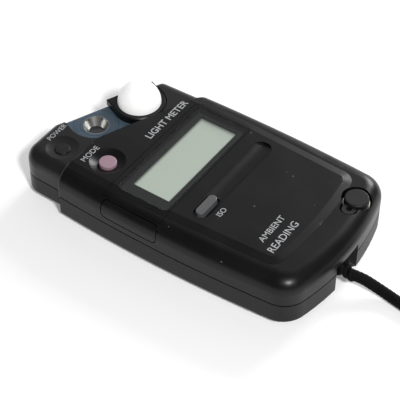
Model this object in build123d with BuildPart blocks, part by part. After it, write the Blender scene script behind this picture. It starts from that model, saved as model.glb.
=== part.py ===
from build123d import *
import math
import os

os.makedirs("parts", exist_ok=True)

# Handheld light meter. Origin: on the resting plane, under the middle of the case.
# +X is to the right when the display is read, +Y points to the dome end, +Z out of the display face.

# ---- driving dimensions, mm ----
half_width = 31.5            # widest half width of the main body
half_length = 55.3           # half the length over both ends
widest_y = 4.0               # where the convex sides are widest
side_radius = 536.0          # plan radius of the long sides
corner_radius = 9.0          # plan radius of the two lower corners
wall = 1.6                   # shell thickness

parting_z = 9.1              # top of the rear case
seal_height = 0.45           # thickness of the seal in the parting line
seal_inset = 0.5             # how far the seal sits inside the outline
front_z = parting_z + seal_height
body_top = 19.5              # front face of the main body
body_roll = 5.6              # shoulder radius of the main body
plateau_top = 20.1           # raised field on the front face
plateau_slope = 2.8          # width of the slope round the raised field
head_top = 18.8              # front face of the head
head_roll = 4.6              # shoulder radius of the head
head_back = 0.8              # rear face of the head
head_corner = 2.2            # plan radius of the head's right corner
rear_bevel = 2.0             # bevel round the rear face
cover_underside = 16.25      # inside of the head's front cover
body_ceiling = body_top - wall

# The dome slides along a line that falls to the right, parallel to the head's top edge.
slide_angle = 23.5
slide_travel = 17.0
dome_rest = (14.0, 37.2)
dome_radius = 7.5
dome_base = 19.0
slider_radius = 9.1
nest_radius = 9.4            # arcs in the head cover that the slider nests in
head_edge = 6.9              # from the slide line out to the head's top edge
receptor_radius = 4.6
plate_top = 16.2
plate_thickness = 1.2

# Display.
window_size = (46.4, 19.6)
window_centre = (-1.0, 8.2)
window_corner = 1.6
lcd_view_size = (39.0, 14.6)
lcd_view_centre = (0.4, 8.1)
frame_left, frame_right = -28.5, 24.0
frame_low, frame_high = -2.4, 19.9
frame_underside = 18.0
joint_gap = 0.12             # between the frame and the case

# Buttons: centre, radius, top.
power_at, power_radius, power_top = (-18.9, 44.4), 2.65, 18.4
mode_at, mode_radius, mode_top = (-16.4, 27.4), 3.0, 19.9
iso_at, iso_size, iso_top = (-14.8, -10.6), (9.6, 3.2), 20.9
iso_pocket = (0.9, 1.5)      # width and depth of the gap round the sensitivity button
channel_x, channel_y, channel_depth = (-20.4, 20.4), (-13.8, -7.2), 0.9
button_clearance = 0.12
button_travel = 0.5
flange_width = 0.8
stem_radius = 1.2
stem_bottom = 14.7
switch_top = 14.05

# Board and display stack.
board_low, board_high = 10.4, 11.4
lcd_low, lcd_high = 16.3, 17.95

# Sync terminal and strap end.
sync_at = (15.9, -47.5)
cap_radius = 4.1
cap_low, cap_top = 17.75, 19.8
notch_x = (-7.5, 5.0)
notch_top = 12.3
notch_back = -49.2
strap_bar_at = (-52.6, 8.2)  # y, z

# Battery: one AA cell across the strap end.
battery_radius = 7.1
battery_length = 49.2        # without its raised end
battery_nub = (2.7, 1.3)     # radius and height of the raised end
battery_y, battery_z = -36.0, 9.4

# Strap cord, and its route where it isn't coiled.
cord_diameter = 3.7
coil_centre = (18.3, -96.0)
coil_outer, coil_inner = 20.9, 14.1
coil_floor = 0.3             # the tie passes under the turns
cord_route = [
    (-2.1, -56.6, 5.9),
    (-0.8, -60.4, 5.2),
    (0.0, -65.2, 3.3),
    (0.1, -70.6, 2.05),
    (-1.0, -77.4, 1.95),
    (-2.4, -85.8, 1.95),
]


def save(part, name):
    part.label = name
    export_step(part, f"parts/{name}.step")


def side_x(y):
    """Half width of the main body at a height y."""
    return half_width - (y - widest_y) ** 2 / (2 * side_radius)


def slide_plane(z):
    """Plane with its origin at the dome's rest, x along the slide to the right, y to the head's top edge."""
    turn = math.radians(slide_angle)
    return Plane(origin=(*dome_rest, z), x_dir=(math.cos(turn), -math.sin(turn), 0), z_dir=(0, 0, 1))


def plan_point(x, y):
    """Plan position of a point that is given in the slide's own axes."""
    place = slide_plane(0).from_local_coords(Vector(x, y, 0))
    return (place.X, place.Y)


# ---- outlines ----
far_y = 60.0
corner_y, left_corner_x, right_corner_x = -50.4, -28.7, 29.9
step_level = 37.3
head_sides = ((-29.1, -27.9), (29.7, 28.9))  # x low down and at the far end


def body_plan(inset=0.0):
    """Main body: convex sides and end, open past the step towards the head."""
    far_x = side_x(far_y) - inset
    wide_x = half_width - inset
    left_corner = (left_corner_x + inset, corner_y + inset)
    right_corner = (right_corner_x - inset, corner_y + inset)
    with BuildSketch(mode=Mode.PRIVATE) as plan:
        with BuildLine():
            ThreePointArc((-far_x, far_y), (-wide_x, widest_y), left_corner)
            ThreePointArc(left_corner, (0, inset - half_length), right_corner)
            ThreePointArc(right_corner, (wide_x, widest_y), (far_x, far_y))
            Line((far_x, far_y), (-far_x, far_y))
        make_face()
        fillet(plan.vertices().group_by(Axis.Y)[0], radius=corner_radius - inset)
    return plan.sketch


def head_plan(inset=0.0, low_y=12.0):
    """Head: narrower than the body, with a flat top at the left that falls to the right."""
    slope = math.tan(math.radians(slide_angle))
    edge = plan_point(0, head_edge - inset)
    top_y = half_length - inset
    left_x, right_x = head_sides[0][1] + inset, head_sides[1][1] - inset
    with BuildSketch(mode=Mode.PRIVATE) as plan:
        with BuildLine():
            Polyline(
                (head_sides[0][0] + inset, low_y),
                (left_x, top_y),
                (edge[0] - (top_y - edge[1]) / slope, top_y),
                (right_x, edge[1] - (right_x - edge[0]) * slope),
                (head_sides[1][0] - inset, low_y),
                close=True,
            )
        make_face()
        corners = plan.vertices().sort_by(Axis.Y)
        fillet(corners[2], radius=head_corner - inset)
        fillet(plan.vertices().sort_by(Axis.Y)[-2:].sort_by(Axis.X)[0], radius=6.5 - inset)
    return plan.sketch


def step_region(shift=0.0):
    """Everything on the head's side of the step, moved into the body by shift."""
    level = step_level - shift
    edge = -nest_radius - shift
    right = plan_point(60, edge)
    knee = plan_point(-26.0, edge)
    slope = math.tan(math.radians(slide_angle))
    knee_x = knee[0] + (knee[1] - level) / slope
    with BuildSketch(mode=Mode.PRIVATE) as region:
        with BuildLine():
            FilletPolyline((-60, level), (knee_x, level), right, radius=10.0)
            Polyline(right, (90, 90), (-60, 90), (-60, level))
        make_face()
    return region.sketch


def block(sketch, low, high):
    """Straight extrusion of a plan sketch between two heights."""
    with BuildPart(mode=Mode.PRIVATE) as solid:
        with BuildSketch(Plane.XY.offset(low)):
            add(sketch)
        extrude(amount=high - low)
    return solid.part


def rolled_block(sketch, low, high, roll, keep_far_edge):
    """Extrusion whose top edge is rolled over; the far edge can stay square."""
    with BuildPart(mode=Mode.PRIVATE) as solid:
        with BuildSketch(Plane.XY.offset(low)):
            add(sketch)
        extrude(amount=high - low)
        rim = solid.faces().sort_by(Axis.Z)[-1].edges().sort_by(Axis.Y)
        fillet(rim[:-1] if keep_far_edge else rim[1:], radius=roll)
    return solid.part


def bevelled_block(sketch, low, high, bevel, keep_far_edge):
    """Extrusion whose bottom edge is bevelled."""
    with BuildPart(mode=Mode.PRIVATE) as solid:
        with BuildSketch(Plane.XY.offset(low)):
            add(sketch)
        extrude(amount=high - low)
        rim = solid.faces().sort_by(Axis.Z)[0].edges().sort_by(Axis.Y)
        chamfer(rim[:-1] if keep_far_edge else rim[1:], length=bevel)
    return solid.part


def plateau_plan():
    """Raised field of the front face."""
    with BuildSketch(mode=Mode.PRIVATE) as plan:
        with BuildLine():
            Polyline((-17.5, -43.2), (-23.8, -42.4), (-25.8, -3.0), (-26.4, 20.0), (-25.9, 45.0))
            Line((-25.9, 45.0), (25.9, 45.0))
            Polyline((25.9, 45.0), (26.4, 20.0), (25.8, -3.0), (23.8, -42.4), (17.5, -43.2))
            ThreePointArc((17.5, -43.2), (0, -44.3), (-17.5, -43.2))
        make_face()
        fillet(plan.vertices().filter_by(lambda v: abs(abs(v.X) - 23.8) < 0.01), radius=5.0)
    return plan.sketch


# ---- outer form of the front, shared by the case, the display frame and the measuring key ----
with BuildPart() as front_form:
    add(rolled_block(body_plan(), front_z, body_top, body_roll, keep_far_edge=True))
    with BuildSketch(Plane.XY.offset(body_top - 0.2)):
        add(plateau_plan())
    extrude(amount=plateau_top - body_top + 0.2)
    field = front_form.faces().sort_by(Axis.Z)[-1]
    chamfer(field.edges().sort_by(Axis.Y)[:-1], length=plateau_slope, length2=0.55, reference=field)
    add(block(step_region(), 0, 40), mode=Mode.SUBTRACT)
    step_faces = front_form.faces().filter_by(lambda f: f.center().Y > 20 and abs(f.normal_at().Z) < 0.01)
    step_faces = step_faces.filter_by(lambda f: f.normal_at().Y > 0.5)
    step_rim = step_faces.edges().filter_by(lambda e: e.center().Z > body_top - 1.0)
    chamfer(step_rim.filter_by(lambda e: abs(e.center().Z - plateau_top) < 0.01), length=0.3)


def rounded_box(x_span, y_span, z_span, radius):
    """Block with rounded upright edges, given by its limits."""
    with BuildPart(mode=Mode.PRIVATE) as solid:
        with BuildSketch(Plane.XY.offset(z_span[0])):
            with Locations((sum(x_span) / 2, sum(y_span) / 2)):
                RectangleRounded(x_span[1] - x_span[0], y_span[1] - y_span[0], radius)
        extrude(amount=z_span[1] - z_span[0])
    return solid.part


def box_between(x_span, y_span, z_span):
    """Plain block given by its limits."""
    with BuildPart(mode=Mode.PRIVATE) as solid:
        with Locations((sum(x_span) / 2, sum(y_span) / 2, sum(z_span) / 2)):
            Box(x_span[1] - x_span[0], y_span[1] - y_span[0], z_span[1] - z_span[0])
    return solid.part


def disc(at, radius, low, high):
    """Upright round bar between two heights."""
    with BuildPart(mode=Mode.PRIVATE) as solid:
        with Locations((at[0], at[1], (low + high) / 2)):
            Cylinder(radius, high - low)
    return solid.part


def slide_box(x_span, y_span, z_span):
    """Plain block in the slide's own axes."""
    with BuildPart(mode=Mode.PRIVATE) as solid:
        with BuildSketch(slide_plane(z_span[0])):
            with Locations((sum(x_span) / 2, sum(y_span) / 2)):
                Rectangle(x_span[1] - x_span[0], y_span[1] - y_span[0])
        extrude(amount=z_span[1] - z_span[0])
    return solid.part


def nest_block(radius, reach, top, low, high):
    """Round below the slide line and straight above it, stretched to the left by reach."""
    diagonal = radius * math.sqrt(0.5)
    with BuildPart(mode=Mode.PRIVATE) as solid:
        with BuildSketch(slide_plane(low)):
            with BuildLine():
                Polyline((-reach - radius, 0), (-reach - radius, top), (radius, top), (radius, 0))
                ThreePointArc((radius, 0), (diagonal, -diagonal), (0, -radius))
                if reach:
                    Line((0, -radius), (-reach, -radius))
                ThreePointArc((-reach, -radius), (-reach - diagonal, -diagonal), (-reach - radius, 0))
            make_face()
        extrude(amount=high - low)
    return solid.part


def dish(at, radius, top, depth):
    """Shallow spherical hollow: the ball that cuts it."""
    ball = (radius**2 + depth**2) / (2 * depth)
    with BuildPart(mode=Mode.PRIVATE) as solid:
        with Locations((at[0], at[1], top + ball - depth)):
            Sphere(ball)
    return solid.part


def channel_block():
    """Finger channel: a round bar laid across the case, kept to the channel's outline."""
    half = (channel_y[1] - channel_y[0]) / 2
    radius = (half**2 + channel_depth**2) / (2 * channel_depth)
    with BuildPart(mode=Mode.PRIVATE) as bar:
        with Locations(Location((0, sum(channel_y) / 2, plateau_top + radius - channel_depth), (0, 90, 0))):
            Cylinder(radius, 60)
    return bar.part & rounded_box(channel_x, channel_y, (plateau_top - 3, 30), half - 0.1)


# ---- display frame outline, shared with the opening it sits in ----
def frame_block(grow, low, high):
    """Outline of the display frame: square at the left, rounded at the right."""
    with BuildPart(mode=Mode.PRIVATE) as solid:
        with BuildSketch(Plane.XY.offset(low)):
            with Locations(((frame_left + frame_right) / 2, (frame_low + frame_high) / 2)):
                Rectangle(frame_right - frame_left + 2 * grow, frame_high - frame_low + 2 * grow)
        extrude(amount=high - low)
        fillet(solid.edges().filter_by(Axis.Z).group_by(Axis.X)[-1], radius=3.0 + grow)
    return solid.part


# ---- measuring key: a panel of the left shoulder that turns inwards about its lower end ----
key_low_y, key_high_y = -2.4, 19.1
key_low_s, key_high_s = -1.6, 4.7
press_angle = 30.0           # below level: the way the key is pressed
key_gap = 0.3
key_corner = 1.6
key_reach = 11.0
key_pin_y, key_pin_depth = -0.9, 8.6
key_pin_radius = 0.6


def key_plane():
    """Plane across the pressing direction: x along the case, y up the shoulder."""
    lean = math.radians(press_angle)
    inward = Vector(math.cos(lean), 0, -math.sin(lean))
    return Plane(origin=(-36.0, 0, 16.6), x_dir=(0, 1, 0), z_dir=inward)


def key_prism(grow=0.0):
    """Outline of the key's face, carried inwards."""
    with BuildPart(mode=Mode.PRIVATE) as prism:
        with BuildSketch(key_plane()):
            with Locations(((key_low_y + key_high_y) / 2, (key_low_s + key_high_s) / 2)):
                RectangleRounded(
                    key_high_y - key_low_y + 2 * grow, key_high_s - key_low_s + 2 * grow, key_corner + grow
                )
        extrude(amount=key_reach)
    return prism.part


def key_block(y_span, s_span, depth_span):
    """Block in the key's own axes: along the case, up the shoulder, inwards."""
    with BuildPart(mode=Mode.PRIVATE) as solid:
        with BuildSketch(key_plane().offset(depth_span[0])):
            with Locations((sum(y_span) / 2, sum(s_span) / 2)):
                Rectangle(y_span[1] - y_span[0], s_span[1] - s_span[0])
        extrude(amount=depth_span[1] - depth_span[0])
    return solid.part


def key_bar(radius, s_span):
    """Round bar along the key's hinge line."""
    face = key_plane()
    start = face.from_local_coords(Vector(key_pin_y, s_span[0], key_pin_depth))
    with BuildPart(mode=Mode.PRIVATE) as bar:
        with BuildSketch(Plane(origin=start, z_dir=face.y_dir)):
            Circle(radius)
        extrude(amount=s_span[1] - s_span[0])
    return bar.part


with BuildPart() as measure_key:
    add(rolled_block(body_plan(0.05), front_z, body_top - 0.05, body_roll, keep_far_edge=True))
    add(rolled_block(body_plan(wall), front_z - 1, body_ceiling, body_roll - wall, True), mode=Mode.SUBTRACT)
    add(key_prism(), mode=Mode.INTERSECT)
    add(key_block((key_pin_y - 1.0, key_pin_y + 1.0), (-1.2, 4.4), (6.4, 8.6)))
    add(key_bar(1.3, (-1.2, 4.4)))
    add(key_bar(key_pin_radius + 0.05, (-2.0, 5.5)), mode=Mode.SUBTRACT)
    add(box_between((-30.4, -26.5), (12.8, 15.2), (12.6, 14.0)))
save(measure_key.part, "measure_key")

with BuildPart() as measure_key_pin:
    add(key_bar(key_pin_radius, (-2.6, 5.8)))
save(measure_key_pin.part, "measure_key_pin")

# ---- places shared by both shells ----
upper_posts = [(-25.4, 32.4), (23.2, 24.6)]
lower_posts = [(-25.6, -46.6), (25.9, -45.6)]
post_radius = 2.2
screw_radius = 0.9
screw_head_radius = 1.8
screw_head_height = 1.4
screw_length = 13.1
upper_head_low, lower_head_low = 0.5, 2.0   # the lower heads lie under the battery door

value_keys = {"up_key": (9.0, 15.6), "down_key": (0.6, 7.2)}
value_key_z = (10.3, 13.7)
value_key_gap = 0.15
value_key_recess = 0.7

label_x, label_y = (-17.0, 17.0), (-16.0, 8.0)
label_depth = 0.25

door_x, door_top_y, door_thickness = 26.4, -26.6, 1.6
door_gap = 0.15

holder_x, holder_y = (-22.3, 22.8), (-1.7, 17.8)
terminal_ear = (10.7, -47.7)
bar_y, bar_z = strap_bar_at


def case_cavity(inset):
    """Hollow of the main body, ended before the step."""
    return block(body_plan(inset), front_z - 9, 40) - block(step_region(shift=inset), -9, 50)


def pill(grow, low, high):
    """Outline of the sensitivity button."""
    with BuildPart(mode=Mode.PRIVATE) as solid:
        with BuildSketch(Plane.XY.offset(low)):
            with Locations(iso_at):
                RectangleRounded(iso_size[0] + 2 * grow, iso_size[1] + 2 * grow, iso_size[1] / 2 + grow - 0.02)
        extrude(amount=high - low)
    return solid.part


# ---- front case ----
with BuildPart() as front_case:
    add(front_form.part)
    add(rolled_block(head_plan(), front_z, head_top, head_roll, keep_far_edge=False))
    main_hollow = rolled_block(body_plan(wall), front_z - 1, body_ceiling, body_roll - wall, True)
    add(main_hollow - block(step_region(shift=2.2), 0, 40), mode=Mode.SUBTRACT)
    head_hollow = rolled_block(head_plan(wall, 6.0), front_z - 1, cover_underside, head_roll - wall, False)
    add(head_hollow, mode=Mode.SUBTRACT)
    # posts, seats and pockets inside
    for post in upper_posts + lower_posts:
        add(disc(post, post_radius, front_z, 18.2) & front_form.part)
    add(disc(mode_at, 6.9, 16.9, body_ceiling + 0.3))
    add(disc(sync_at, 6.2, 14.9, 18.2) & front_form.part)
    add(disc(terminal_ear, 4.2, 15.4, 18.2) & front_form.part)
    add(rounded_box((-27.0, 25.2), (-3.6, 21.2), (16.9, frame_underside), 2.0))
    add(rounded_box((notch_x[0] - 1.2, notch_x[1] + 1.2), (-54.6, notch_back + 1.0), (front_z, 13.5), 1.0))
    add(key_bar(1.3, (-3.2, -2.0)) & front_form.part)
    add(key_bar(1.3, (5.1, 6.3)))
    # channel of the dome slider, open to the head's top edge, and the plate's seat below it
    slide_left = -slide_travel - nest_radius
    add(nest_block(nest_radius, slide_travel, 14.0, cover_underside, 30), mode=Mode.SUBTRACT)
    add(nest_block(nest_radius - 1.4, slide_travel, 5.0, plate_top - 3, 30), mode=Mode.SUBTRACT)
    add(slide_box((slide_left, nest_radius), (6.0, 14.0), (13.1, 30)), mode=Mode.SUBTRACT)
    plate_low = plate_top - plate_thickness - 0.05
    add(slide_box((slide_left - 0.9, nest_radius + 0.9), (-11.1, 6.05), (plate_low, cover_underside)),
        mode=Mode.SUBTRACT)
    add(slide_box((-slide_travel - 6.2, 6.2), (-10.7, -7.0), (cover_underside, 17.6)), mode=Mode.SUBTRACT)
    # dishes and holes of the buttons
    add(dish(power_at, 5.6, head_top, 1.0), mode=Mode.SUBTRACT)
    add(disc(power_at, power_radius + button_clearance, 14, 30), mode=Mode.SUBTRACT)
    add(dish(mode_at, 6.1, plateau_top, 1.8), mode=Mode.SUBTRACT)
    add(disc(mode_at, mode_radius + button_clearance, 14, 30), mode=Mode.SUBTRACT)
    add(channel_block(), mode=Mode.SUBTRACT)
    add(pill(iso_pocket[0], plateau_top - iso_pocket[1], 30), mode=Mode.SUBTRACT)
    add(pill(button_clearance, 14, 30), mode=Mode.SUBTRACT)
    # display opening, measuring key and value keys
    add(frame_block(joint_gap, frame_underside, 30), mode=Mode.SUBTRACT)
    add(box_between((holder_x[0] - 0.2, holder_x[1] + 0.2), (holder_y[0] - 0.2, holder_y[1] + 0.2), (14, 30)),
        mode=Mode.SUBTRACT)
    add(key_prism(key_gap), mode=Mode.SUBTRACT)
    add(key_bar(key_pin_radius, (-2.6, 5.8)), mode=Mode.SUBTRACT)
    for low_y, high_y in value_keys.values():
        span = (low_y - value_key_gap, high_y + value_key_gap)
        z_span = (value_key_z[0] - value_key_gap, value_key_z[1] + value_key_gap)
        add(box_between((26, 40), span, z_span), mode=Mode.SUBTRACT)
    add(box_between((half_width - value_key_recess, 40), (-0.9, 17.1), (10.0, 14.3)), mode=Mode.SUBTRACT)
    # terminal recess, strap notch, pilot holes
    add(disc(sync_at, 5.0, 16.9, 30), mode=Mode.SUBTRACT)
    add(disc(terminal_ear, 3.0, 16.9, 30), mode=Mode.SUBTRACT)
    add(disc(sync_at, 3.5, 10, 30), mode=Mode.SUBTRACT)
    add(box_between(notch_x, (-60, notch_back), (0, notch_top)), mode=Mode.SUBTRACT)
    for post in upper_posts:
        add(disc(post, screw_radius - 0.1, 0, 15.4), mode=Mode.SUBTRACT)
    for post in lower_posts:
        add(disc(post, screw_radius - 0.1, 0, 16.9), mode=Mode.SUBTRACT)
save(front_case.part, "front_case")

# ---- rear case ----
with BuildPart() as rear_form:
    add(bevelled_block(body_plan(), 0, parting_z, rear_bevel, keep_far_edge=True))
    add(block(step_region(), -1, 40), mode=Mode.SUBTRACT)

with BuildPart() as rear_case:
    add(rear_form.part)
    add(bevelled_block(head_plan(), head_back, parting_z, rear_bevel, keep_far_edge=False))
    floor_cut = block(body_plan(wall), wall, 40) - block(step_region(shift=wall), 0, 50)
    add(floor_cut, mode=Mode.SUBTRACT)
    add(block(head_plan(wall, 6.0), head_back + wall, 40), mode=Mode.SUBTRACT)
    for post in upper_posts + lower_posts:
        add(disc(post, 2.6, 1.0, parting_z) & rear_form.part)
    add(rounded_box((notch_x[0] - 1.2, notch_x[1] + 1.2), (-54.2, notch_back + 1.0), (1.0, parting_z), 1.0))
    add(box_between((26.0, 27.2), (-41.0, -31.0), (1.0, parting_z)))
    add(box_between((-29.0, -27.95), (-41.0, -31.0), (1.0, parting_z)))
    add(box_between(notch_x, (-60, notch_back), (-1, 40)), mode=Mode.SUBTRACT)
    add(box_between((notch_x[0] - 0.9, notch_x[1] + 0.9), (bar_y - 0.8, bar_y + 0.8), (bar_z - 0.8, 40)),
        mode=Mode.SUBTRACT)
    # battery opening, screw holes and the label's shallow field
    door_span = (-door_x - door_gap, door_x + door_gap)
    add(box_between(door_span, (-70, door_top_y + door_gap), (-1, door_thickness + door_gap)),
        mode=Mode.SUBTRACT)
    for posts, head_low in ((upper_posts, upper_head_low), (lower_posts, lower_head_low)):
        for post in posts:
            add(disc(post, screw_radius + 0.1, 0, 40), mode=Mode.SUBTRACT)
            add(disc(post, screw_head_radius + 0.15, -1, head_low + screw_head_height), mode=Mode.SUBTRACT)
    add(rounded_box(label_x, label_y, (-1, label_depth), 1.5), mode=Mode.SUBTRACT)
save(rear_case.part, "rear_case")

with BuildPart() as battery_door:
    add(rear_form.part)
    add(box_between((-door_x, door_x), (-70, door_top_y), (-1, door_thickness)), mode=Mode.INTERSECT)
    add(box_between((-8, 8), (-28.6, door_top_y), (1.2, 2.25)))
    add(box_between((-8, 8), (-28.6, -25.2), (wall + 0.12, 2.25)))
    add(box_between((notch_x[0] - door_gap, notch_x[1] + door_gap), (-60, notch_back + door_gap), (-1, 5)),
        mode=Mode.SUBTRACT)
    for rib_y in (-31.5, -32.7, -33.9):
        add(box_between((-5, 5), (rib_y - 0.3, rib_y + 0.3), (-1, 0.3)), mode=Mode.SUBTRACT)
save(battery_door.part, "battery_door")

with BuildPart() as rear_label:
    add(rounded_box((label_x[0] + 0.1, label_x[1] - 0.1), (label_y[0] + 0.1, label_y[1] - 0.1),
                    (0.02, label_depth), 1.4))
save(rear_label.part, "rear_label")

# ---- seal in the parting line ----
seal_width = 1.0
with BuildPart() as case_seal:
    add(block(body_plan(seal_inset), parting_z, front_z))
    add(block(step_region(shift=seal_inset), 0, 40), mode=Mode.SUBTRACT)
    add(block(head_plan(seal_inset), parting_z, front_z))
    add(case_cavity(seal_inset + seal_width), mode=Mode.SUBTRACT)
    add(block(head_plan(seal_inset + seal_width, 6.0), 0, 40), mode=Mode.SUBTRACT)
    add(box_between(notch_x, (-60, notch_back), (0, 40)), mode=Mode.SUBTRACT)
save(case_seal.part, "case_seal")

with BuildPart() as case_screws:
    for posts, head_low in ((upper_posts, upper_head_low), (lower_posts, lower_head_low)):
        for post in posts:
            seat = head_low + screw_head_height
            add(disc(post, screw_head_radius, head_low, seat))
            add(disc(post, screw_radius, seat, seat + screw_length))
            add(box_between((post[0] - 1.1, post[0] + 1.1), (post[1] - 0.2, post[1] + 0.2),
                            (head_low - 1, head_low + 0.5)), mode=Mode.SUBTRACT)
            add(box_between((post[0] - 0.2, post[0] + 0.2), (post[1] - 1.1, post[1] + 1.1),
                            (head_low - 1, head_low + 0.5)), mode=Mode.SUBTRACT)
save(case_screws.part, "case_screws")

# ---- dome slider ----
slider_low = plate_top + 0.15
dome_wall = 1.3
with BuildPart() as dome_slider:
    add(nest_block(slider_radius, 0, 6.8, slider_low, dome_base))
    chamfer(dome_slider.faces().sort_by(Axis.Z)[-1].edges(), length=0.35)
    add(slide_box((-5, 5), (-10.4, -6.0), (cover_underside + 0.15, 17.4)))
    add(slide_box((-7, 7), (6.15, 6.8), (13.3, 17.5)))
    add(disc(dome_rest, dome_radius - dome_wall, 10, 30), mode=Mode.SUBTRACT)
save(dome_slider.part, "dome_slider")

with BuildPart() as dome:
    with Locations((*dome_rest, dome_base)):
        Sphere(dome_radius)
        Sphere(dome_radius - dome_wall, mode=Mode.SUBTRACT)
    add(box_between((-20, 40), (0, 70), (-10, dome_base)), mode=Mode.SUBTRACT)
save(dome.part, "dome")

# ---- light receptor ----
receptor_at = plan_point(-slide_travel, 0)
with BuildPart() as receptor_plate:
    add(slide_box((slide_left - 0.8, nest_radius + 0.8), (-11.0, 6.0), (plate_top - plate_thickness, plate_top)))
    add(disc(receptor_at, receptor_radius, 0, 30), mode=Mode.SUBTRACT)
    add(disc(receptor_at, 5.65, plate_top - 0.15, 30) - disc(receptor_at, 5.4, 0, 40), mode=Mode.SUBTRACT)
save(receptor_plate.part, "receptor_plate")

with BuildPart() as receptor_well:
    with BuildSketch(Plane.XZ):
        Polygon((2.6, 13.2), (4.9, 13.2), (4.9, 14.9), (4.5, 14.9), (4.5, 16.1), (4.3, 16.1), align=None)
    revolve(axis=Axis.Z)
receptor_well_placed = receptor_well.part.moved(Location((*receptor_at, 0)))
save(receptor_well_placed, "receptor_well")

with BuildPart() as receptor_filter:
    add(disc(receptor_at, 3.4, 12.3, 13.15))
save(receptor_filter.part, "receptor_filter")

with BuildPart() as photo_sensor:
    with Locations((*receptor_at, (board_high + 12.25) / 2)):
        Box(5.6, 5.6, 12.25 - board_high)
save(photo_sensor.part, "photo_sensor")

# ---- push buttons ----
with BuildPart() as power_button:
    add(disc(power_at, power_radius, 16.0, power_top))
    fillet(power_button.faces().sort_by(Axis.Z)[-1].edges(), radius=0.35)
    add(disc(power_at, power_radius + flange_width, 15.35, 16.15))
    add(disc(power_at, stem_radius, stem_bottom, 15.5))
save(power_button.part, "power_button")

with BuildPart() as mode_button:
    add(disc(mode_at, mode_radius, 16.6, mode_top))
    fillet(mode_button.faces().sort_by(Axis.Z)[-1].edges(), radius=0.4)
    add(disc(mode_at, mode_radius + flange_width, 16.0, 16.8))
    add(disc(mode_at, stem_radius, stem_bottom, 16.2))
save(mode_button.part, "mode_button")

with BuildPart() as iso_button:
    add(pill(0, 17.4, iso_top))
    fillet(iso_button.faces().sort_by(Axis.Z)[-1].edges(), radius=0.4)
    add(pill(flange_width, 17.0, 17.8))
    add(disc(iso_at, stem_radius, stem_bottom, 17.2))
save(iso_button.part, "iso_button")

for key_name, (low_y, high_y) in value_keys.items():
    with BuildPart() as value_key:
        middle = (low_y + high_y) / 2
        add(box_between((28.9, 31.35), (low_y, high_y), value_key_z))
        fillet(value_key.faces().sort_by(Axis.X)[-1].edges(), radius=0.3)
        add(box_between((28.4, 29.5), (low_y - 0.7, high_y + 0.7), (value_key_z[0] - 0.7, value_key_z[1] + 0.7)))
        add(box_between((26.6, 28.6), (middle - 0.8, middle + 0.8), (11.6, 13.0)))
    save(value_key.part, key_name)

# ---- display ----
with BuildPart() as display_frame:
    add(front_form.part)
    add(frame_block(0, frame_underside, 30), mode=Mode.INTERSECT)
    half_x, half_y = window_size[0] / 2, window_size[1] / 2
    window_x = (window_centre[0] - half_x, window_centre[0] + half_x)
    window_y = (window_centre[1] - half_y, window_centre[1] + half_y)
    add(rounded_box((window_x[0] - 0.06, window_x[1] + 0.06), (window_y[0] - 0.06, window_y[1] + 0.06),
                    (18.85, 30), window_corner + 0.06), mode=Mode.SUBTRACT)
    view_x, view_y = lcd_view_size[0] / 2, lcd_view_size[1] / 2
    add(box_between((lcd_view_centre[0] - view_x, lcd_view_centre[0] + view_x),
                    (lcd_view_centre[1] - view_y, lcd_view_centre[1] + view_y), (0, 30)), mode=Mode.SUBTRACT)
save(display_frame.part, "display_frame")

with BuildPart() as display_window:
    add(rounded_box(window_x, window_y, (18.9, plateau_top - 0.05), window_corner))
save(display_window.part, "display_window")

with BuildPart() as lcd_panel:
    add(box_between((-20.8, 21.4), (-0.9, 17.0), (lcd_low, lcd_high)))
save(lcd_panel.part, "lcd_panel")

with BuildPart() as lcd_holder:
    add(box_between(holder_x, holder_y, (board_high + 0.05, 17.9)))
    add(box_between((-20.9, 21.5), (-1.0, 17.1), (lcd_low - 0.05, 30)), mode=Mode.SUBTRACT)
    add(box_between((-19.0, 19.6), (2.6, 13.6), (0, 30)), mode=Mode.SUBTRACT)
    add(box_between((-19.1, 19.7), (-0.7, 2.0), (0, 30)), mode=Mode.SUBTRACT)
    add(box_between((-19.1, 19.7), (14.1, 16.7), (0, 30)), mode=Mode.SUBTRACT)
save(lcd_holder.part, "lcd_holder")

with BuildPart() as lcd_connectors:
    add(box_between((-19.0, 19.6), (-0.6, 1.9), (board_high, lcd_low)))
    add(box_between((-19.0, 19.6), (14.2, 16.6), (board_high, lcd_low)))
save(lcd_connectors.part, "lcd_connectors")

# ---- circuit board ----
switch_body = (4.4, 4.4, 2.0)
with BuildPart() as main_board:
    add(box_between((-22.6, 22.6), (-26.0, 30.0), (board_low, board_high)))
    add(box_between((-25.6, -20.0), (11.0, 17.0), (board_low, board_high)))
    add(box_between((20.0, 25.6), (-0.5, 16.6), (board_low, board_high)))
    head_part = block(head_plan(wall + 0.4, 20.0), board_low, board_high)
    add(head_part & box_between((-22.6, 10.0), (28.0, 60.0), (0, 30)))
    for post in upper_posts:
        add(disc(post, post_radius + 0.4, 0, 30), mode=Mode.SUBTRACT)
save(main_board.part, "main_board")

with BuildPart() as key_switches:
    for place in (power_at, mode_at, iso_at):
        with Locations((*place, board_high + switch_body[2] / 2)):
            Box(*switch_body)
        add(disc(place, 1.0, board_high + 1.0, switch_top))
    for low_y, high_y in value_keys.values():
        middle = (low_y + high_y) / 2
        add(box_between((23.2, 25.4), (middle - 2.0, middle + 2.0), (board_high, 13.4)))
        add(box_between((25.0, 26.0), (middle - 0.7, middle + 0.7), (11.8, 12.8)))
    add(box_between((-25.4, -23.0), (12.0, 16.0), (board_high, 13.6)))
    add(box_between((-25.95, -25.0), (13.3, 14.7), (12.4, 13.4)))
save(key_switches.part, "key_switches")

with BuildPart() as processor_chip:
    add(box_between((-6, 6), (3.6, 12.4), (board_high, board_high + 1.2)))
save(processor_chip.part, "processor_chip")

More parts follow.
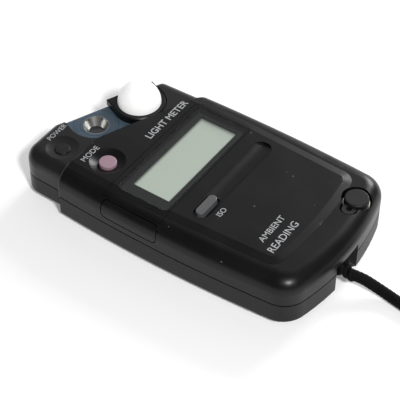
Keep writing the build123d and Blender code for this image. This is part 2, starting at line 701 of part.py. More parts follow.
# ---- sync terminal ----
with BuildPart() as sync_sleeve:
    add(disc(sync_at, 4.4, 16.9, cap_low - 0.05))
    add(disc(sync_at, 3.4, 11.5, 17.2))
    add(disc(sync_at, 2.65, 0, 30), mode=Mode.SUBTRACT)
save(sync_sleeve.part, "sync_sleeve")

with BuildPart() as sync_insulator:
    add(disc(sync_at, 2.62, 11.6, 16.0))
    add(disc(sync_at, 0.8, 0, 30), mode=Mode.SUBTRACT)
save(sync_insulator.part, "sync_insulator")

with BuildPart() as sync_contact:
    add(disc(sync_at, 0.78, 10.8, 15.9))
save(sync_contact.part, "sync_contact")

with BuildPart() as terminal_cap:
    add(disc(sync_at, cap_radius, cap_low, cap_top))
    fillet(terminal_cap.faces().sort_by(Axis.Z)[-1].edges(), radius=0.6)
    add(disc(terminal_ear, 2.3, cap_low, 19.0))
    add(box_between((terminal_ear[0], sync_at[0] - 2.0), (-48.7, -46.6), (cap_low, 19.0)))
    add(disc(terminal_ear, 0.95, 0, 30), mode=Mode.SUBTRACT)
    add(disc(sync_at, 2.3, 16.2, cap_low + 0.5))
save(terminal_cap.part, "terminal_cap")

# ---- battery and its contacts ----
with BuildPart() as battery:
    with Locations(Location((-0.4, battery_y, battery_z), (0, 90, 0))):
        Cylinder(battery_radius, battery_length)
    with Locations(Location((battery_length / 2 - 0.4 + battery_nub[1] / 2, battery_y, battery_z), (0, 90, 0))):
        Cylinder(*battery_nub)
save(battery.part, "battery")

with BuildPart() as positive_contact:
    add(box_between((25.55, 25.95), (battery_y - 4, battery_y + 4), (5.0, 14.0)))
save(positive_contact.part, "positive_contact")

with BuildPart() as negative_contact:
    add(box_between((-27.9, -27.5), (battery_y - 4, battery_y + 4), (5.0, 14.0)))
save(negative_contact.part, "negative_contact")

spring_wire = 0.45
with BuildPart() as battery_spring:
    with BuildLine():
        coil = Helix(pitch=0.85, height=1.9, radius=3.2, center=(-27.25, battery_y, battery_z), direction=(1, 0, 0))
    with BuildSketch(Plane(origin=coil @ 0, z_dir=coil % 0)):
        Circle(spring_wire / 2)
    sweep()
save(battery_spring.part, "battery_spring")

# ---- strap ----
with BuildPart() as strap_bar:
    with Locations(Location(((notch_x[0] + notch_x[1]) / 2, bar_y, bar_z), (0, 90, 0))):
        Cylinder(0.75, notch_x[1] - notch_x[0] + 1.5)
save(strap_bar.part, "strap_bar")

hitch_x = (-3.9, -1.3)
with BuildPart() as strap_hitch:
    for x in hitch_x:
        with Locations(Location((x, bar_y, bar_z), (0, 90, 0))):
            Torus(2.0, 1.15)
    with Locations((-2.6, -56.2, 6.4)):
        Sphere(2.25)
save(strap_hitch.part, "strap_hitch")

cord_radius = cord_diameter / 2
with BuildPart() as strap_cord:
    with BuildLine() as cord_line:
        radii = []
        for before, here, after in zip(cord_route, cord_route[1:], cord_route[2:]):
            first, second = Vector(*here) - Vector(*before), Vector(*after) - Vector(*here)
            half_turn = math.radians(first.get_angle(second)) / 2
            radii.append(0.45 * min(first.length, second.length) / math.tan(half_turn))
        FilletPolyline(*cord_route, radius=radii)
    with BuildSketch(Plane(origin=cord_route[0], z_dir=cord_line.wires()[0] % 0)):
        Circle(cord_radius)
    sweep()
save(strap_cord.part, "strap_cord")
print("cord radii", [round(r, 1) for r in radii])
print("cord volume", round(strap_cord.part.volume, 1), "section x length",
      round(math.pi * cord_radius**2 * cord_line.wires()[0].length, 1))

with BuildPart() as strap_coil:
    with Locations((*coil_centre, coil_floor + cord_radius)):
        Cylinder(coil_outer + cord_radius, cord_diameter)
        Cylinder(coil_inner - cord_radius, cord_diameter, mode=Mode.SUBTRACT)
    fillet(strap_coil.edges().filter_by(GeomType.CIRCLE), radius=1.4)
save(strap_coil.part, "strap_coil")

tie_height = cord_diameter + 0.7
with BuildPart() as coil_tie:
    tie_low, tie_high = coil_inner - cord_radius - 0.65, coil_outer + cord_radius + 0.55
    middle = (coil_centre[0] + (tie_low + tie_high) / 2, coil_centre[1], tie_height / 2)
    with Locations(middle):
        Box(tie_high - tie_low, 3.2, tie_height)
        Box(tie_high - tie_low - 0.9, 3.2, tie_height - 0.56, mode=Mode.SUBTRACT)
save(coil_tie.part, "coil_tie")

with BuildPart() as strap_knot:
    with Locations((coil_centre[0] - 9.9, coil_centre[1], 3.0)):
        Sphere(2.95)
save(strap_knot.part, "strap_knot")
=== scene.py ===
import math

import bpy
import numpy as np
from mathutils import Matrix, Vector


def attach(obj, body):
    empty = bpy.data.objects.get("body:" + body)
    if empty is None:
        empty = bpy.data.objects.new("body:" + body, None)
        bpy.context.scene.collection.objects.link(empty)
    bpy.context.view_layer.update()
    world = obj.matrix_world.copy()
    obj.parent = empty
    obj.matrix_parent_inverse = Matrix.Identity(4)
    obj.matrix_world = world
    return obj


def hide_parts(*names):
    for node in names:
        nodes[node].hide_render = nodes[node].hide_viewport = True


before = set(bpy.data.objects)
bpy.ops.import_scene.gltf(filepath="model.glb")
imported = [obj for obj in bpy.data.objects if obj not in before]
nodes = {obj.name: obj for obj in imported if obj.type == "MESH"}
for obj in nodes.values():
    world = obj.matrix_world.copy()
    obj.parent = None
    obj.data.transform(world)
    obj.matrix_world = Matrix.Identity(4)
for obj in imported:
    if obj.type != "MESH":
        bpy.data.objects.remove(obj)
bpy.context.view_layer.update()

# ---- camera ----
# Looks down on the meter from its strap end, from the left and about 46 degrees up.
# A long lens, upright, aimed just off the middle of the case.
look_at = Vector((-0.00655, -0.00238, 0.011))
stand_at = Vector((-0.26829, -0.18521, 0.33703))
bpy.ops.object.camera_add(location=stand_at)
camera = bpy.context.object
camera.rotation_mode = "QUATERNION"
camera.rotation_quaternion = (look_at - stand_at).to_track_quat("-Z", "Y")
camera.data.lens = 126.0
camera.data.sensor_width = 36.0
camera.data.clip_start = 0.01
camera.data.clip_end = 20.0
bpy.context.scene.camera = camera
bpy.context.scene.view_settings.view_transform = "Standard"

# ---- wrist cord ----
# A 3.7 mm braided polyester cord. It leaves the knot on the lug, comes down to the table and is put
# away as a flat coil of three turns, which ends in a stopper knot inside the coil.
CORD_RADIUS = 0.00185
CORD_ROUTE = [
    (-0.0021, -0.0566, 0.0059),
    (-0.0008, -0.0604, 0.0052),
    (0.0, -0.0652, 0.0033),
    (0.0001, -0.0706, 0.00205),
    (-0.0010, -0.0774, 0.00195),
    (-0.0024, -0.0858, 0.00195),
]
COIL_CENTRE = (0.0183, -0.0960)
COIL_START, COIL_PITCH, COIL_TURNS, TURN_POINTS = 0.0209, 0.0038, 3.0, 16
COIL_HEIGHT = 0.0020
BRAID_GLOSS = 0.12
LUG_AT = (-0.0026, -0.0526, 0.0082)
LOOPS_X = (-0.0039, -0.0013)
LOOP_RADIUS, LOOP_CORD, WRAP_CORD = 0.0020, 0.00112, 0.00098
WRAPS = ((0.0, 0.00128), (0.0017, 0.0011))      # distance from the lug, and radius
WRAP_Y, WRAP_HEIGHT = -0.0559, 0.0066
KNOT_AT = (0.0084, -0.0960, 0.0032)
KNOT_SIZE, KNOT_LIFT, KNOT_CORD = 0.00088, 0.0011, 0.00125


class Wire:
    """A shader socket that can be added, taken away, multiplied and compared like a number."""

    def __init__(self, finish, socket):
        self.finish = finish
        self.socket = socket

    def sum(self, operation, first, second):
        return self.finish.node("Math", {"operation": operation}, {0: first, 1: second})

    def __add__(self, other):
        return self.sum("ADD", self, other)

    def __radd__(self, other):
        return self.sum("ADD", other, self)

    def __sub__(self, other):
        return self.sum("SUBTRACT", self, other)

    def __rsub__(self, other):
        return self.sum("SUBTRACT", other, self)

    def __mul__(self, other):
        return self.sum("MULTIPLY", self, other)

    def __rmul__(self, other):
        return self.sum("MULTIPLY", other, self)

    def __lt__(self, other):
        return self.sum("LESS_THAN", self, other)

    def __gt__(self, other):
        return self.sum("GREATER_THAN", self, other)


class Finish:
    """A surface finish: one material, its nodes and its shader."""

    def __init__(self, name, colour=(0.5, 0.5, 0.5), roughness=0.5, metallic=0.0):
        self.material = bpy.data.materials.new(name)
        self.material.use_nodes = True
        self.tree = self.material.node_tree
        self.shader = self.tree.nodes["Principled BSDF"]
        self.set("Base Color", (*colour, 1.0))
        self.set("Roughness", roughness)
        self.set("Metallic", metallic)
        self.place = self.node("TexCoord", {}, {}, "Object")

    def node(self, kind, settings, inputs, output=0):
        made = self.tree.nodes.new("ShaderNode" + kind)
        for key, value in settings.items():
            setattr(made, key, value)
        for key, value in inputs.items():
            self.join(made.inputs[key], value)
        return Wire(self, made.outputs[output])

    def join(self, socket, value):
        if isinstance(value, Wire):
            self.tree.links.new(value.socket, socket)
        else:
            socket.default_value = value

    def set(self, name, value):
        self.join(self.shader.inputs[name], value)

    def blend(self, share, first, second):
        """A colour between two colours."""
        colours = {6: first, 7: second, 0: share}
        return self.node("Mix", {"data_type": "RGBA"}, colours, 2)

    def noise(self, scale, detail=2.0, roughness=0.5):
        values = {"Vector": self.place, "Scale": scale, "Detail": detail, "Roughness": roughness}
        return self.node("TexNoise", {}, values, 0)

    def step(self, value, low, high):
        """0 below low, 1 above high, smooth between."""
        values = {"Value": value, "From Min": low, "From Max": high}
        return self.node("MapRange", {"interpolation_type": "SMOOTHSTEP"}, values, 0)

    def axis(self, letter):
        return self.node("SeparateXYZ", {}, {0: self.place}, letter)

    def bump(self, height, strength, distance):
        values = {"Strength": strength, "Distance": distance, "Height": height}
        self.set("Normal", self.node("Bump", {}, values, 0))

    def dress(self, *objects):
        for piece in objects:
            piece.data.materials.clear()
            piece.data.materials.append(self.material)


def line_through(points, name):
    """The smooth line that a NURBS spline with these control points follows."""
    curve = bpy.data.curves.new(name, "CURVE")
    curve.dimensions = "3D"
    curve.resolution_u = 12
    spline = curve.splines.new("NURBS")
    spline.points.add(len(points) - 1)
    for knot, point in zip(spline.points, points):
        knot.co = (*point, 1.0)
    spline.order_u = 3
    spline.use_endpoint_u = True
    holder = bpy.data.objects.new(name, curve)
    bpy.context.scene.collection.objects.link(holder)
    bpy.context.view_layer.update()
    mesh = bpy.data.meshes.new_from_object(holder)
    line = np.array([v.co[:] for v in mesh.vertices])
    bpy.data.objects.remove(holder)
    bpy.data.meshes.remove(mesh)
    return line


def evenly(line, spacing):
    """The same line with its points a fixed distance apart."""
    run = np.concatenate([[0.0], np.cumsum(np.linalg.norm(np.diff(line, axis=0), axis=1))])
    at = np.linspace(0.0, run[-1], max(8, int(run[-1] / spacing)))
    return np.stack([np.interp(at, run, line[:, k]) for k in range(3)], axis=1), at


def braided_tube(name, line, radius, closed=False, spacing=0.00022, round_count=40, strands=8):
    """A braid of flat strands that pass over and under each other, round a line."""
    line, at = evenly(line, spacing)
    if closed:
        line, at = line[:-1], at[:-1]
        along = np.roll(line, -1, axis=0) - np.roll(line, 1, axis=0)
    else:
        along = np.gradient(line, axis=0)
    along /= np.linalg.norm(along, axis=1)[:, None]
    side = np.zeros_like(along)
    guess = np.array([0.0, 0.0, 1.0]) if abs(along[0][2]) < 0.9 else np.array([1.0, 0.0, 0.0])
    for k, direction in enumerate(along):
        guess = guess - direction * guess.dot(direction)
        guess /= np.linalg.norm(guess)
        side[k] = guess
    if closed:
        out = np.cross(side, along)
        drift = math.atan2(side[-1].dot(out[0]), side[-1].dot(side[0]))
        back = np.linspace(0.0, drift, len(line))[:, None]
        side = side * np.cos(back) + out * np.sin(back)
    other = np.cross(along, side)
    turn = np.arange(round_count) * 2 * math.pi / round_count
    pitch = 2 * math.pi * radius / strands
    right = turn[None, :] * strands / (2 * math.pi) + at[:, None] / pitch
    left = turn[None, :] * strands / (2 * math.pi) - at[:, None] / pitch
    over = (np.floor(right) + np.floor(left)) % 2 < 1
    crown = np.where(over, np.sin(math.pi * (right % 1)), np.sin(math.pi * (left % 1)))
    size = radius * (0.84 + 0.16 * np.sqrt(np.clip(crown, 0, 1)))
    spread = side[:, None, :] * np.cos(turn)[None, :, None] + other[:, None, :] * np.sin(turn)[None, :, None]
    points = (line[:, None, :] + spread * size[:, :, None]).reshape(-1, 3)
    rings = len(line)
    faces = []
    for k in range(rings if closed else rings - 1):
        for j in range(round_count):
            a, b = k * round_count + j, k * round_count + (j + 1) % round_count
            c, d = (b + round_count) % len(points), (a + round_count) % len(points)
            faces.append((a, b, c, d))
    if not closed:
        faces.append(tuple(range(round_count))[::-1])
        faces.append(tuple(range(len(points) - round_count, len(points))))
    mesh = bpy.data.meshes.new(name)
    mesh.from_pydata(points.tolist(), [], faces)
    mesh.shade_smooth()
    piece = bpy.data.objects.new(name, mesh)
    bpy.context.scene.collection.objects.link(piece)
    return piece


def join_pieces(pieces, name):
    bpy.ops.object.select_all(action="DESELECT")
    for piece in pieces:
        piece.select_set(True)
    bpy.context.view_layer.objects.active = pieces[0]
    bpy.ops.object.join()
    pieces[0].name = name
    return pieces[0]


braid = Finish("braided_polyester", roughness=0.7)
braid.shader.inputs["Specular IOR Level"].default_value = BRAID_GLOSS
fibre = braid.noise(5200.0, 2.0)
braid_dark, braid_light = (0.0006, 0.0006, 0.0007, 1), (0.0045, 0.0045, 0.005, 1)
braid.set("Base Color", braid.blend(braid.step(fibre, 0.35, 0.75), braid_dark, braid_light))
braid.set("Roughness", 0.6 + 0.25 * fibre)
braid.bump(fibre, 0.5, 0.00006)

turns = []
for k in range(1, int(COIL_TURNS * TURN_POINTS) + 1):
    turned = k / TURN_POINTS
    reach = COIL_START - COIL_PITCH * turned
    angle = math.pi + 2 * math.pi * turned
    turn_x = COIL_CENTRE[0] + reach * math.cos(angle)
    turn_y = COIL_CENTRE[1] + reach * math.sin(angle)
    turns.append((turn_x, turn_y, COIL_HEIGHT))
cord_line = line_through(CORD_ROUTE + turns, "cord_line")
wrist_cord = braided_tube("wrist_cord", cord_line, CORD_RADIUS)
cord_length = float(np.linalg.norm(np.diff(cord_line, axis=0), axis=1).sum())

lug_at = Vector(LUG_AT)
loops = []
for x in LOOPS_X:
    ring = []
    for a in np.linspace(0, 2 * math.pi, 25):
        ring.append((
            x + 0.0002 * math.sin(a),
            lug_at.y + LOOP_RADIUS * math.cos(a),
            lug_at.z + LOOP_RADIUS * math.sin(a),
        ))
    loops.append(braided_tube("loop", np.array(ring), LOOP_CORD, closed=True, round_count=20, strands=6))
for offset, across in WRAPS:
    ring = []
    for a in np.linspace(0, 2 * math.pi, 25):
        ring.append((
            lug_at.x + 0.0003 + across * math.cos(a),
            WRAP_Y - offset + 0.0005 * math.sin(a),
            WRAP_HEIGHT - offset * 0.35 + across * math.sin(a),
        ))
    loops.append(braided_tube("loop", np.array(ring), WRAP_CORD, closed=True, round_count=20, strands=6))
hitch = join_pieces(loops, "lug_hitch")

knot_at = Vector(KNOT_AT)
trefoil = []
for a in np.linspace(0, 2 * math.pi, 73):
    trefoil.append((
        knot_at.x + KNOT_SIZE * (math.sin(a) + 2 * math.sin(2 * a)),
        knot_at.y + KNOT_SIZE * (math.cos(a) - 2 * math.cos(2 * a)),
        knot_at.z - KNOT_LIFT * math.sin(3 * a),
    ))
stopper = braided_tube("stopper_knot", np.array(trefoil), KNOT_CORD, closed=True, round_count=24)

braid.dress(wrist_cord, hitch, stopper)
cord_pieces = (
    (wrist_cord, ("strap_cord", "strap_coil")),
    (hitch, ("strap_hitch",)),
    (stopper, ("strap_knot",)),
)
for piece, replaced in cord_pieces:
    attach(piece, "case")
    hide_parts(*replaced)

# ---- case mouldings ----
# The two shells and the battery door are black ABS with a fine satin grain and a few pale specks and
# light scratches, with a painted highlight along the step to the head and along the rear shell's bevel.
SLIDE_TURN = math.radians(23.5)
DOME_REST = (0.0140, 0.0372)
PLASTIC_GLOSS = 0.27
STEP_FROM_DOME, STEP_Y = 0.0094, 0.0373         # slanted and level edge of the step to the head
# Where the painted highlight along the step to the head starts, is full and ends.
STEP_HIGHLIGHT_FROM, STEP_HIGHLIGHT_FULL, STEP_HIGHLIGHT_END = -0.00034, -0.00012, 0.00004
# Heights of the painted highlight band on the bevel at the foot of the rear case.
BEVEL_FROM, BEVEL_FULL, BEVEL_END = 0.0017, 0.0020, 0.00225


def moulded(name, colour, pale, roughness, grain=0.00002, specks=0.0):
    """Injection moulded plastic with a fine grain, slight patchiness and dust."""
    plastic = Finish(name, roughness=roughness)
    plastic.shader.inputs["Specular IOR Level"].default_value = PLASTIC_GLOSS
    patch = plastic.noise(90.0, 3.0)
    fine = plastic.noise(2600.0, 2.0)
    tone = plastic.blend(plastic.step(patch, 0.3, 0.75), (*colour, 1), (*pale, 1))
    if specks:
        spot = plastic.node("TexVoronoi", {}, {"Vector": plastic.place, "Scale": 420.0}, 0)
        rare = plastic.step(plastic.noise(170.0, 1.0), 0.66, 0.70)
        dust = plastic.step(spot, 0.17, 0.06) * rare
        smear = plastic.step(plastic.noise(38.0, 4.0, 0.7), 0.60, 0.85)
        tone = plastic.blend(dust * specks + smear * (specks * 0.06), tone, (0.32, 0.32, 0.31, 1))
    plastic.set("Base Color", tone)
    plastic.set("Roughness", roughness - 0.05 + 0.10 * patch + 0.08 * fine)
    plastic.bump(fine, 0.35, grain)
    plastic.tone = tone
    return plastic


case_black = moulded("case_black", (0.0026, 0.0026, 0.0028), (0.0045, 0.0045, 0.0047), 0.30, specks=0.4)
across, along = case_black.axis("X"), case_black.axis("Y")
slope_side = (across - DOME_REST[0]) * math.sin(SLIDE_TURN) + (along - DOME_REST[1]) * math.cos(SLIDE_TURN)
slope_gap = slope_side + STEP_FROM_DOME
level_gap = along - STEP_Y
step_gap = case_black.node("Math", {"operation": "MAXIMUM"}, {0: slope_gap, 1: level_gap})
# Painted highlight: a pale line on the case along the step to the head, where the edge would catch the
# light.
painted_step_highlight = case_black.step(step_gap, STEP_HIGHLIGHT_FROM, STEP_HIGHLIGHT_FULL) * (step_gap < STEP_HIGHLIGHT_END)
head_share = (step_gap > 0.0) * 0.7
head_tone = case_black.blend(head_share, case_black.tone, (0.016, 0.016, 0.017, 1))
case_black.set("Base Color", case_black.blend(painted_step_highlight * 0.4, head_tone, (0.16, 0.16, 0.16, 1)))
case_black.dress(nodes["front_case"])

rear_black = moulded("rear_black", (0.004, 0.004, 0.0043), (0.0065, 0.0065, 0.007), 0.40, specks=0.3)
height = rear_black.axis("Z")
# Painted highlight: a pale band on the bevel at the foot of the rear case, on the body only.
painted_bevel_highlight = rear_black.step(height, BEVEL_FROM, BEVEL_FULL) * (height < BEVEL_END)
painted_bevel_highlight = painted_bevel_highlight * (rear_black.axis("Y") < STEP_Y)
rear_black.set("Base Color", rear_black.blend(painted_bevel_highlight * 0.5, rear_black.tone, (0.12, 0.12, 0.12, 1)))
rear_black.dress(nodes["rear_case"], nodes["battery_door"])

# ---- seal, rubber cap and tie ----
# Soft black rubber: the seal pressed between the shells, the tethered cap on the sync terminal
# with its ear and hole, and the band that holds the coiled cord.
rubber = Finish("black_rubber", (0.010, 0.010, 0.010), 0.6)
RUBBER_GLOSS = 0.3
rubber.shader.inputs["Specular IOR Level"].default_value = RUBBER_GLOSS
skin = rubber.noise(1800.0, 3.0)
bloom = rubber.step(rubber.noise(60.0, 3.0), 0.45, 0.8)
rubber.set("Base Color", rubber.blend(bloom * 0.6, (0.004, 0.004, 0.0045, 1), (0.011, 0.011, 0.0115, 1)))
rubber.set("Roughness", 0.42 + 0.2 * skin)
rubber.bump(skin, 0.3, 0.00002)
rubber.dress(nodes["case_seal"], nodes["terminal_cap"], nodes["coil_tie"], nodes["lcd_connectors"])

# ---- sync terminal ----
# A nickel plated brass ring with a cream insulator and a small brass centre contact in it.
plating = Finish("nickel_plating", (0.66, 0.60, 0.50), 0.25, 1.0)
wear = plating.noise(700.0, 3.0)
plating.set("Roughness", 0.18 + 0.25 * wear)
nickel, worn_nickel = (0.72, 0.68, 0.60, 1), (0.52, 0.45, 0.34, 1)
plating.set("Base Color", plating.blend(plating.step(wear, 0.4, 0.8), nickel, worn_nickel))
plating.dress(nodes["sync_sleeve"], nodes["battery_spring"])
cream = moulded("cream_insulator", (0.60, 0.52, 0.36), (0.66, 0.58, 0.42), 0.35)
cream.dress(nodes["sync_insulator"])
brass = Finish("bare_brass", (0.75, 0.56, 0.24), 0.3, 1.0)
brass.set("Roughness", 0.2 + 0.3 * brass.noise(900.0, 2.0))
brass.dress(nodes["sync_contact"])

# ---- display ----
# A glossy black frame let into the case, with a clear acrylic window over a grey-green reflective
# display that is switched off. A painted shade darkens the glass at its rim, where the frame would shade it.
gloss_black = moulded(
    "frame_black", (0.0026, 0.0026, 0.0028), (0.0045, 0.0045, 0.0047), 0.26, grain=0.000008, specks=0.25)
gloss_black.dress(nodes["display_frame"])

VIEW_AT = (0.0004, 0.0081)
VIEW_HALF = (0.0195, 0.0073)
# Width of the painted shade band round the rim of the glass.
RIM_SHADE_FROM, RIM_SHADE_FULL = -0.0011, -0.0001
glass = Finish("lcd_glass", roughness=0.45)
cloud = glass.noise(45.0, 2.0)
field = glass.blend(cloud * 0.5, (0.47, 0.505, 0.465, 1), (0.44, 0.475, 0.44, 1))
off_x, off_y = glass.axis("X") - VIEW_AT[0], glass.axis("Y") - VIEW_AT[1]
reach_x = glass.node("Math", {"operation": "ABSOLUTE"}, {0: off_x}) - VIEW_HALF[0]
reach_y = glass.node("Math", {"operation": "ABSOLUTE"}, {0: off_y}) - VIEW_HALF[1]
reach = glass.node("Math", {"operation": "MAXIMUM"}, {0: reach_x, 1: reach_y})
# Painted shade: the glass darkens in a band round its rim, as if shaded by the frame.
painted_rim_shade = glass.step(reach, RIM_SHADE_FROM, RIM_SHADE_FULL)
glass.set("Base Color", glass.blend(painted_rim_shade * 0.75, field, (0.10, 0.105, 0.10, 1)))
glass.set("Roughness", 0.40 + 0.1 * cloud)
glass.dress(nodes["lcd_panel"])

acrylic = Finish("clear_acrylic", (1.0, 1.0, 1.0), 0.04)
clear = acrylic.node("BsdfTransparent", {}, {"Color": (0.97, 0.985, 0.97, 1.0)})
shine = acrylic.node("BsdfGlossy", {}, {"Color": (1, 1, 1, 1), "Roughness": 0.03})
inner = acrylic.node("NewGeometry", {}, {}, "Backfacing")
edge_on = acrylic.node("Fresnel", {}, {"IOR": 1.45}) * (1 - inner)
sheet = acrylic.node("MixShader", {}, {0: edge_on, 1: clear, 2: shine})
acrylic.tree.links.new(sheet.socket, acrylic.tree.nodes["Material Output"].inputs["Surface"])
acrylic.dress(nodes["display_window"])

# ---- dome and its slider ----
# A frosted white diffuser dome on a black carrier that slides across the light receptor. The dome
# glows faintly: painted light that brightens it, though it is no lamp.
frost = Finish("frosted_white", (0.93, 0.93, 0.92), 0.35)
frost.set("Roughness", 0.30 + 0.1 * frost.noise(800.0, 2.0))
# Painted light: a faint white glow in the dome, which is no lamp.
frost.shader.inputs["Emission Color"].default_value = (1.0, 1.0, 1.0, 1.0)
DOME_PAINTED_GLOW = 0.22
frost.shader.inputs["Emission Strength"].default_value = DOME_PAINTED_GLOW
frost.bump(frost.noise(2500.0, 1.0), 0.1, 0.00001)
frost.dress(nodes["dome"])
slider_black = moulded("slider_black", (0.003, 0.003, 0.0032), (0.005, 0.005, 0.0052), 0.36, specks=0.2)
slider_black.dress(nodes["dome_slider"])

# ---- light receptor ----
# A slate blue plate with a scale of short ticks round the hole, a bright turned cone below it, a
# dark filter and the photo diode at the bottom.
slate = moulded("slate_plate", (0.052, 0.078, 0.105), (0.070, 0.102, 0.135), 0.40)
SLIDE = 0.017
RECEPTOR_AT = (DOME_REST[0] - SLIDE * math.cos(SLIDE_TURN), DOME_REST[1] + SLIDE * math.sin(SLIDE_TURN))
off_x, off_y = slate.axis("X") - RECEPTOR_AT[0], slate.axis("Y") - RECEPTOR_AT[1]
from_hole = slate.node("Math", {"operation": "SQRT"}, {0: off_x * off_x + off_y * off_y})
bearing = slate.node("Math", {"operation": "ARCTAN2"}, {0: off_y, 1: off_x})
TICKS_ROUND, TICK_SHARE = 36, 0.16
TICK_INNER, TICK_OUTER = 0.0063, 0.0074
LINE_INNER, LINE_OUTER = 0.00765, 0.00785
tick = slate.node("Math", {"operation": "FRACT"}, {0: bearing * (TICKS_ROUND / (2 * math.pi)) + TICKS_ROUND})
ticks = (tick < TICK_SHARE) * (from_hole > TICK_INNER) * (from_hole < TICK_OUTER)
scale_line = (from_hole > LINE_INNER) * (from_hole < LINE_OUTER)
slate.set("Base Color", slate.blend((ticks + scale_line) * 0.7, slate.tone, (0.012, 0.016, 0.022, 1)))
slate.dress(nodes["receptor_plate"])
turned = Finish("turned_cone", (0.42, 0.42, 0.41), 0.30, 1.0)
turned.set("Roughness", 0.25 + 0.15 * turned.noise(1500.0, 2.0))
turned.dress(nodes["receptor_well"])
filter_blue = Finish("filter_blue", (0.30, 0.42, 0.46), 0.08)
filter_dark, filter_light = (0.020, 0.024, 0.026, 1), (0.035, 0.040, 0.043, 1)
filter_blue.set("Base Color", filter_blue.blend(filter_blue.noise(300.0), filter_dark, filter_light))
filter_blue.dress(nodes["receptor_filter"])
diode = moulded("diode_violet", (0.03, 0.02, 0.05), (0.05, 0.03, 0.08), 0.2)
diode.dress(nodes["photo_sensor"])

# ---- buttons and keys ----
# Moulded buttons: a dark power button, a dusty pink mode button, a grey sensitivity button, and
# the black side keys.
power_black = moulded("power_black", (0.009, 0.009, 0.0095), (0.014, 0.014, 0.0145), 0.36)
power_black.dress(nodes["power_button"])
dusty_pink = moulded("dusty_pink", (0.300, 0.195, 0.235), (0.345, 0.230, 0.275), 0.40)
dusty_pink.dress(nodes["mode_button"])
button_grey = moulded("button_grey", (0.085, 0.087, 0.090), (0.108, 0.110, 0.113), 0.34)
button_grey.dress(nodes["iso_button"])
key_black = moulded("key_black", (0.0026, 0.0026, 0.0028), (0.0042, 0.0042, 0.0045), 0.28, specks=0.3)
key_black.dress(nodes["measure_key"], nodes["up_key"], nodes["down_key"])

# ---- printed labels ----
# Pale grey ink pad-printed on the case: the control names beside their buttons and a plain
# description of the instrument.
ink = Finish("pale_ink", (0.3, 0.3, 0.3), 0.55)
thin = ink.noise(2400.0, 2.0)
ink.set("Base Color", ink.blend(ink.step(thin, 0.45, 0.8), (0.42, 0.43, 0.44, 1), (0.26, 0.265, 0.27, 1)))
ink.set("Roughness", 0.45 + 0.2 * thin)


def printed(name, words, at, height, size, weight=0.0):
    """Words as a thin film of ink, centred on a point of the case."""
    bpy.ops.object.select_all(action="DESELECT")
    bpy.ops.object.text_add(location=(at[0], at[1], height))
    label = bpy.context.object
    label.data.body = words
    label.data.size = size
    label.data.align_x = "CENTER"
    label.data.align_y = "CENTER"
    label.data.resolution_u = 4
    label.data.offset = size * weight
    label.data.extrude = 0.00001
    bpy.ops.object.convert(target="MESH")
    label = bpy.context.object
    label.name = name
    bpy.ops.object.transform_apply(location=True, rotation=True, scale=True)
    ink.dress(label)
    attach(label, "case")


HEAD_INK, BODY_INK = 0.01881, 0.02011
printed("label_power", "POWER", (-0.0142, 0.0505), HEAD_INK, 0.0026)
printed("label_mode", "MODE", (-0.0171, 0.0341), BODY_INK, 0.0029)
printed("label_iso", "ISO", (-0.0144, -0.0162), BODY_INK, 0.0027)
printed("label_kind", "LIGHT METER", (0.0108, 0.0232), BODY_INK, 0.0036, 0.008)
printed("label_ambient", "AMBIENT", (-0.0113, -0.0330), BODY_INK, 0.0031, 0.002)
printed("label_reading", "READING", (-0.0122, -0.0378), BODY_INK, 0.0036, 0.003)

# ---- inside and behind ----
# Circuit board, switches, chip and display holder, the battery and its contacts, the screws, the
# steel pins, and the blank label on the back.
board_green = Finish("board_green", (0.015, 0.11, 0.045), 0.35)
tracks = board_green.noise(260.0, 1.0)
bare_board, copper_track = (0.010, 0.085, 0.035, 1), (0.020, 0.135, 0.060, 1)
copper_share = board_green.step(tracks, 0.48, 0.52)
board_green.set("Base Color", board_green.blend(copper_share, bare_board, copper_track))
board_green.bump(tracks, 0.2, 0.00003)
board_green.dress(nodes["main_board"])
chip_black = moulded("chip_black", (0.014, 0.014, 0.015), (0.020, 0.020, 0.021), 0.5)
chip_black.dress(nodes["key_switches"], nodes["processor_chip"])
holder_white = moulded("holder_white", (0.55, 0.55, 0.53), (0.62, 0.62, 0.60), 0.5)
holder_white.dress(nodes["lcd_holder"])
jacket = Finish("battery_jacket", roughness=0.25)
BAND_FROM, BAND_FULL = 0.0135, 0.0137
band = jacket.step(jacket.axis("X"), BAND_FROM, BAND_FULL)
jacket.set("Base Color", jacket.blend(band, (0.012, 0.018, 0.10, 1), (0.55, 0.33, 0.10, 1)))
jacket.set("Roughness", 0.22 + 0.1 * jacket.noise(300.0))
jacket.dress(nodes["battery"])
steel = Finish("plain_steel", (0.55, 0.55, 0.54), 0.3, 1.0)
scuff = steel.noise(1200.0, 4.0)
steel.set("Roughness", 0.22 + 0.3 * scuff)
steel.set("Base Color", steel.blend(scuff, (0.50, 0.50, 0.49, 1), (0.62, 0.62, 0.61, 1)))
steel.dress(nodes["case_screws"], nodes["measure_key_pin"], nodes["strap_bar"],
            nodes["positive_contact"], nodes["negative_contact"])
foil = Finish("blank_foil", (0.42, 0.42, 0.43), 0.4, 0.6)
foil.set("Roughness", 0.30 + 0.2 * foil.noise(500.0, 3.0))
foil.set("Base Color", foil.blend(foil.noise(140.0, 3.0), (0.38, 0.38, 0.39, 1), (0.47, 0.47, 0.48, 1)))
foil.dress(nodes["rear_label"])

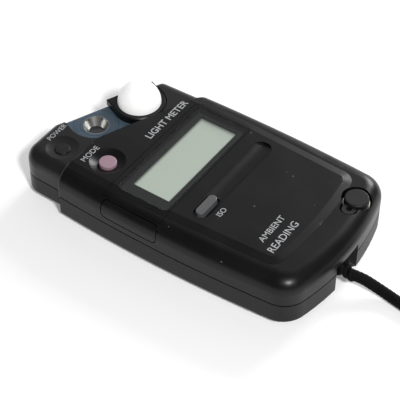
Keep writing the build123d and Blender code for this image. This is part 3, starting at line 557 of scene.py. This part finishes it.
# ---- table and studio light ----
# A white table top lit by a square softbox at the right and by a grey room that is brightest on
# the far right. A small lamp by the camera gives the round highlights on the case's corners.
bpy.ops.object.select_all(action="DESELECT")
TABLE_SIDE, TABLE_GLOW = 3.0, 0.20
bpy.ops.mesh.primitive_plane_add(size=TABLE_SIDE, location=(0, 0, 0))
table = bpy.context.object
table.name = "table_top"
paper = Finish("white_paper", (0.86, 0.86, 0.86), 0.9)
paper.shader.inputs["Emission Color"].default_value = (1.0, 1.0, 1.0, 1.0)
paper.shader.inputs["Emission Strength"].default_value = TABLE_GLOW
paper.dress(table)

world = bpy.data.worlds.new("room")
bpy.context.scene.world = world
world.use_nodes = True
sky = world.node_tree
backdrop = sky.nodes["Background"]
direction = sky.nodes.new("ShaderNodeTexCoord")
ROOM_STOPS = ((0.70, (0.16, 0.16, 0.16, 1)), (0.98, (0.55, 0.55, 0.56, 1)))
BRIGHT_SIDE = (0.72, 0.35, 0.60)
ramp = sky.nodes.new("ShaderNodeValToRGB")
for stop, (position, grey) in zip(ramp.color_ramp.elements, ROOM_STOPS):
    stop.position = position
    stop.color = grey
lit_side = sky.nodes.new("ShaderNodeVectorMath")
lit_side.operation = "DOT_PRODUCT"
lit_side.inputs[1].default_value = BRIGHT_SIDE
sky.links.new(direction.outputs["Generated"], lit_side.inputs[0])
sky.links.new(lit_side.outputs["Value"], ramp.inputs[0])
sky.links.new(ramp.outputs[0], backdrop.inputs["Color"])
backdrop.inputs["Strength"].default_value = 1.0


def softbox(name, at, toward, size, power):
    bpy.ops.object.light_add(type="AREA", location=at)
    lamp = bpy.context.object
    lamp.name = name
    lamp.data.shape = "SQUARE"
    lamp.data.size = size
    lamp.data.energy = power
    lamp.rotation_mode = "QUATERNION"
    lamp.rotation_quaternion = (Vector(toward) - Vector(at)).to_track_quat("-Z", "Y")


softbox("softbox_side", (1.15, 0.00, 0.60), (0, 0, 0), 0.45, 10.0)
softbox("lamp_by_camera", (-0.44, -0.66, 0.86), (0, 0, 0), 0.12, 11.0)
